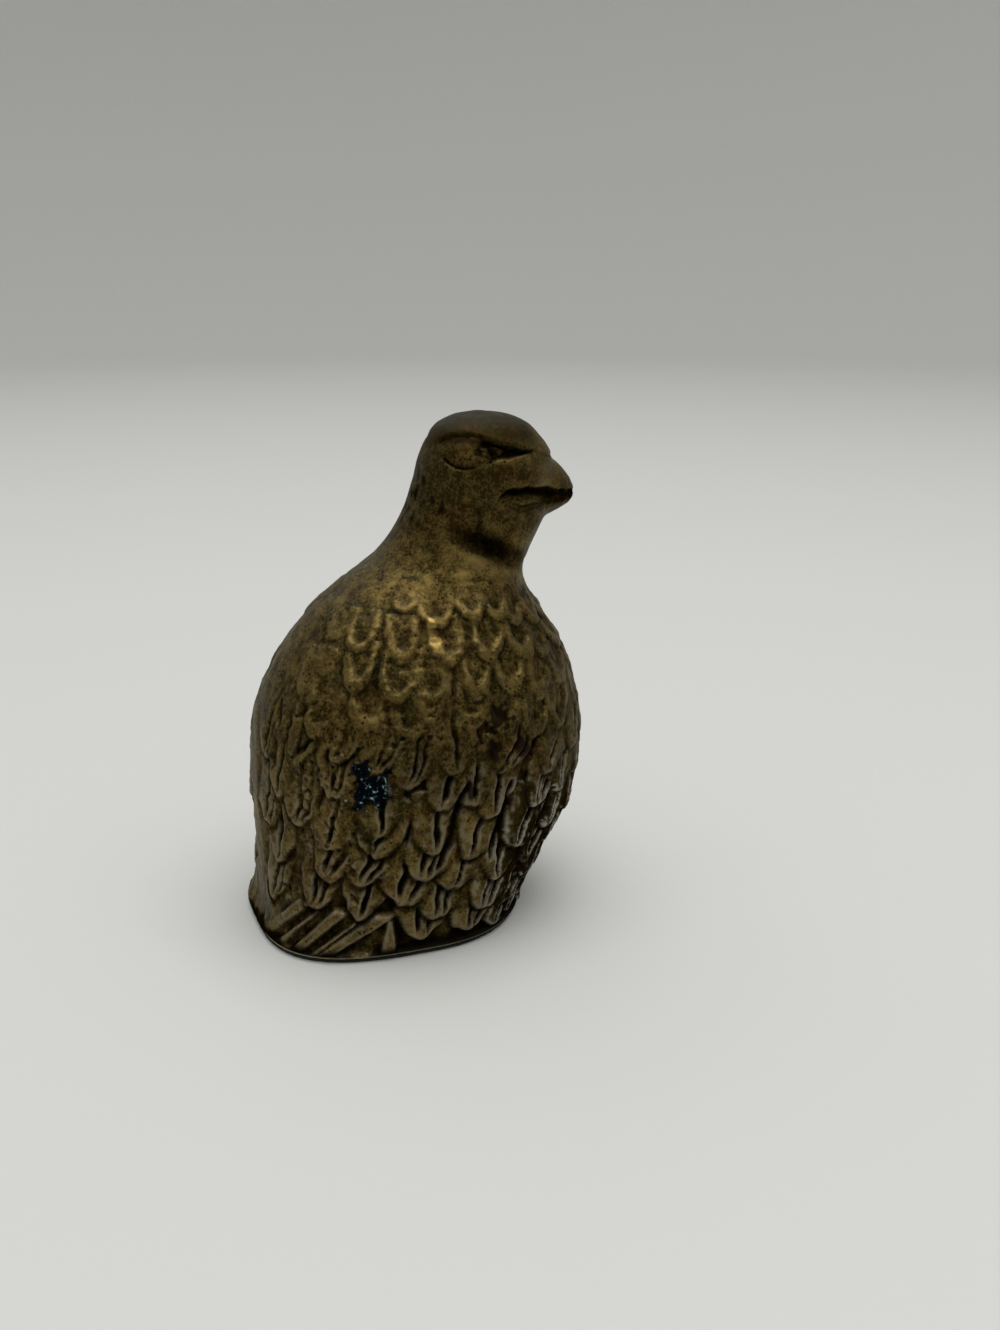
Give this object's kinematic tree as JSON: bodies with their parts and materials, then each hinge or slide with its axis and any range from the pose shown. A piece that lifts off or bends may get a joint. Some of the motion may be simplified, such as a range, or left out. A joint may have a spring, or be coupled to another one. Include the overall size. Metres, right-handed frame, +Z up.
{
  "type": "animal figurine paperweight",
  "caption": "Upright seated quail cast in antiqued brass as a hollow figure with feather relief, weighted inside and closed with a felt base; rests on papers to hold them down.",
  "frame": {"origin": "on the surface that the felt rests on, under the middle of the figure's box", "axes": "+Z up towards the crown, -Y the way the bird faces, +X towards the bird's left side"},
  "size_m": [0.0502, 0.0622, 0.09],
  "materials": {
    "antique_brass": "aged brass with a dark brown patina in the recesses and rubbed high points",
    "ballast_plaster": "poured plaster, matt and slightly pitted",
    "grey_board": "grey chipboard, matt",
    "adhesive_film": "dried amber adhesive",
    "green_felt": "dark green pressed wool felt"
  },
  "bodies": {
    "root": {"body_casting": "antique_brass", "ballast_fill": "ballast_plaster", "backing_board": "grey_board", "felt_adhesive": "adhesive_film", "felt_pad": "green_felt"}
  },
  "joints": []
}
